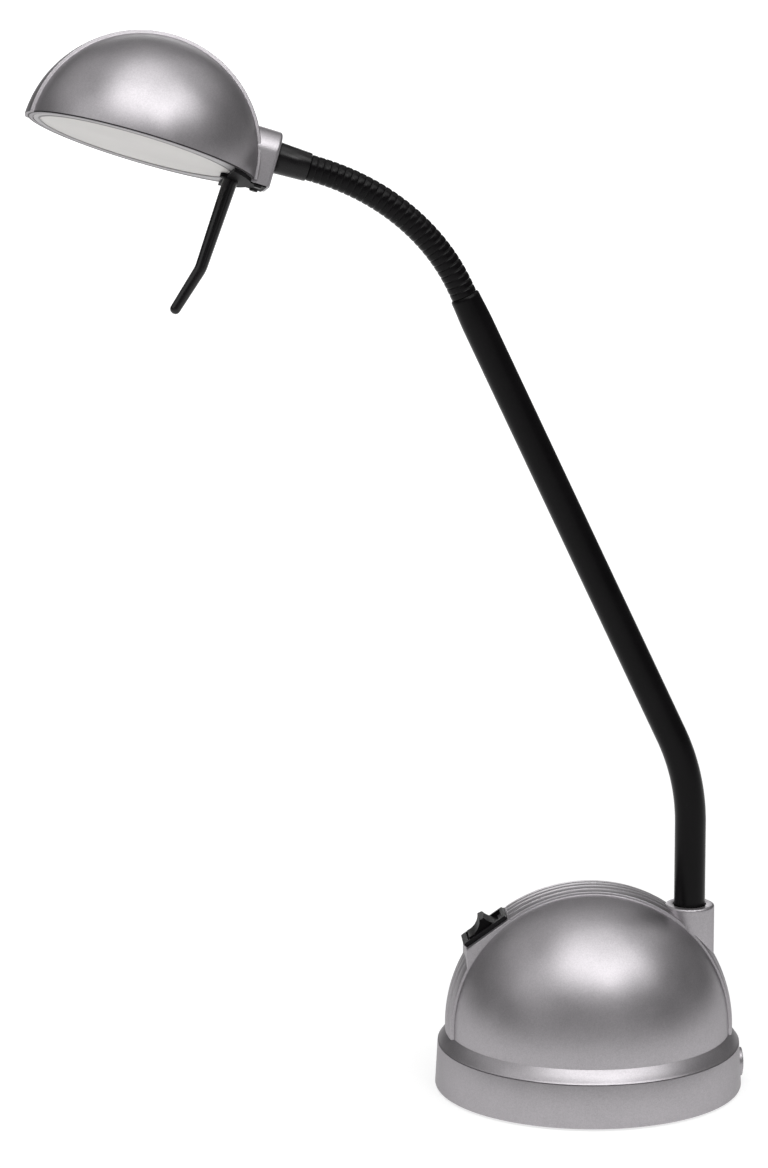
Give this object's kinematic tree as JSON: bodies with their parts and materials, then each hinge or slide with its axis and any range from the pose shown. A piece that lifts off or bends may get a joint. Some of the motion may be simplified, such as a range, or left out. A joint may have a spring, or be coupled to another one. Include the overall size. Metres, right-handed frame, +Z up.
{
  "type": "desk lamp",
  "caption": "Dome shade desk lamp with a weighted dome base, rocker switch, swivelling bent tube, ribbed flexible neck and a small handle under the shade.",
  "frame": {"origin": "middle of the round base, on the table", "axes": "+Z up, -X towards the shade, +X towards the arm and the cord inlet; the arm, the neck and the axis of the shade lie in the XZ plane"},
  "size_m": [0.3001, 0.13, 0.4518],
  "materials": {
    "silver_paint": "satin metallic silver paint on moulded plastic",
    "plated_steel": "zinc plated sheet and fasteners",
    "foot_rubber": "matt",
    "black_rubber": "matt",
    "core_iron": "stacked steel laminations, edges visible",
    "pale_nylon": "plain moulded",
    "copper_wire": "enamelled copper wire, wound",
    "brass_fittings": "bright",
    "black_plastic": "satin",
    "gloss_black": "semi gloss",
    "black_paint": "satin black paint on steel tube",
    "black_neck": "semi gloss sleeve over the flexible neck",
    "pale_trim": "satin silver",
    "frosted_glass": "frosted",
    "clear_glass": "clear",
    "bright_aluminium": "pressed and brightened",
    "ceramic_white": "plain moulded lamp holder",
    "black_screws": "black"
  },
  "bodies": {
    "base": {"base_dome": "silver_paint", "base_ring": "silver_paint", "bottom_plate": "plated_steel", "foot_ring": "foot_rubber", "base_screws": "plated_steel", "transformer_core": "core_iron", "transformer_bobbin": "pale_nylon", "primary_winding": "copper_wire", "secondary_winding": "copper_wire", "transformer_strap": "plated_steel", "strap_screws": "plated_steel", "terminal_block": "pale_nylon", "terminal_screws": "brass_fittings", "cord_grommet": "black_rubber", "cord_clamp": "black_plastic", "clamp_screws": "plated_steel", "switch_housing": "black_plastic", "switch_terminals": "brass_fittings", "arm_bush": "black_plastic"},
    "rocker": {"switch_rocker": "gloss_black"},
    "arm": {"arm_tube": "black_paint", "arm_clip": "plated_steel", "neck_root": "black_neck"},
    "link_1": {"neck_link_1": "black_neck"},
    "link_2": {"neck_link_2": "black_neck"},
    "link_3": {"neck_link_3": "black_neck"},
    "link_4": {"neck_link_4": "black_neck"},
    "link_5": {"neck_link_5": "black_neck"},
    "link_6": {"neck_link_6": "black_neck"},
    "link_7": {"neck_link_7": "black_neck"},
    "link_8": {"neck_link_8": "black_neck"},
    "tip": {"neck_end": "black_neck", "neck_ferrule": "gloss_black", "neck_washer": "plated_steel", "neck_nut": "plated_steel"},
    "head": {"head_shell": "silver_paint", "lens_ring": "pale_trim", "lens": "frosted_glass", "reflector": "bright_aluminium", "lamp_bracket": "plated_steel", "lamp_holder": "ceramic_white", "holder_screws": "plated_steel", "bulb_capsule": "clear_glass", "bulb_pins": "plated_steel", "rear_plate": "black_plastic", "plate_screws": "black_screws", "aim_handle": "gloss_black"}
  },
  "joints": [
    {"name": "switch_rocker_tilt", "type": "hinge", "parent": "base", "child": "rocker", "pos_m": [-0.04298, 0, 0.06832], "axis": [0, -1, 0], "range_deg": [0, 22]},
    {"name": "arm_swivel", "type": "hinge", "parent": "base", "child": "arm", "pos_m": [0.0425, 0, 0.06], "axis": [0, 0, 1], "range_deg": [-85, 85]},
    {"name": "neck_bend_1", "type": "hinge", "parent": "arm", "child": "link_1", "pos_m": [-0.05748, 0, 0.3487], "axis": [0, -1, 0], "range_deg": [-18.5, 6.5]},
    {"name": "neck_side_2", "type": "hinge", "parent": "link_1", "child": "link_2", "pos_m": [-0.06195, 0, 0.35614], "axis": [0.8299, 0, 0.5579], "range_deg": [-11, 11]},
    {"name": "neck_bend_3", "type": "hinge", "parent": "link_2", "child": "link_3", "pos_m": [-0.06714, 0, 0.36308], "axis": [0, -1, 0], "range_deg": [-18.14, 6.86]},
    {"name": "neck_bend_4", "type": "hinge", "parent": "link_3", "child": "link_4", "pos_m": [-0.07299, 0, 0.36947], "axis": [0, -1, 0], "range_deg": [-17.95, 7.05]},
    {"name": "neck_side_5", "type": "hinge", "parent": "link_4", "child": "link_5", "pos_m": [-0.07943, 0, 0.37528], "axis": [0.6355, 0, 0.7721], "range_deg": [-11, 11]},
    {"name": "neck_bend_6", "type": "hinge", "parent": "link_5", "child": "link_6", "pos_m": [-0.08637, 0, 0.38048], "axis": [0, -1, 0], "range_deg": [-17.58, 7.42]},
    {"name": "neck_bend_7", "type": "hinge", "parent": "link_6", "child": "link_7", "pos_m": [-0.09374, 0, 0.38504], "axis": [0, -1, 0], "range_deg": [-17.4, 7.6]},
    {"name": "neck_side_8", "type": "hinge", "parent": "link_7", "child": "link_8", "pos_m": [-0.10148, 0, 0.38896], "axis": [0.4145, 0, 0.9101], "range_deg": [-11, 11]},
    {"name": "neck_bend_9", "type": "hinge", "parent": "link_8", "child": "tip", "pos_m": [-0.10951, 0, 0.39222], "axis": [0, -1, 0], "range_deg": [-17.03, 7.97]},
    {"name": "head_swivel", "type": "hinge", "parent": "tip", "child": "head", "pos_m": [-0.13112, 0, 0.39908], "axis": [-0.9532, 0, 0.3024], "range_deg": [-105.3, 74.7]}
  ]
}
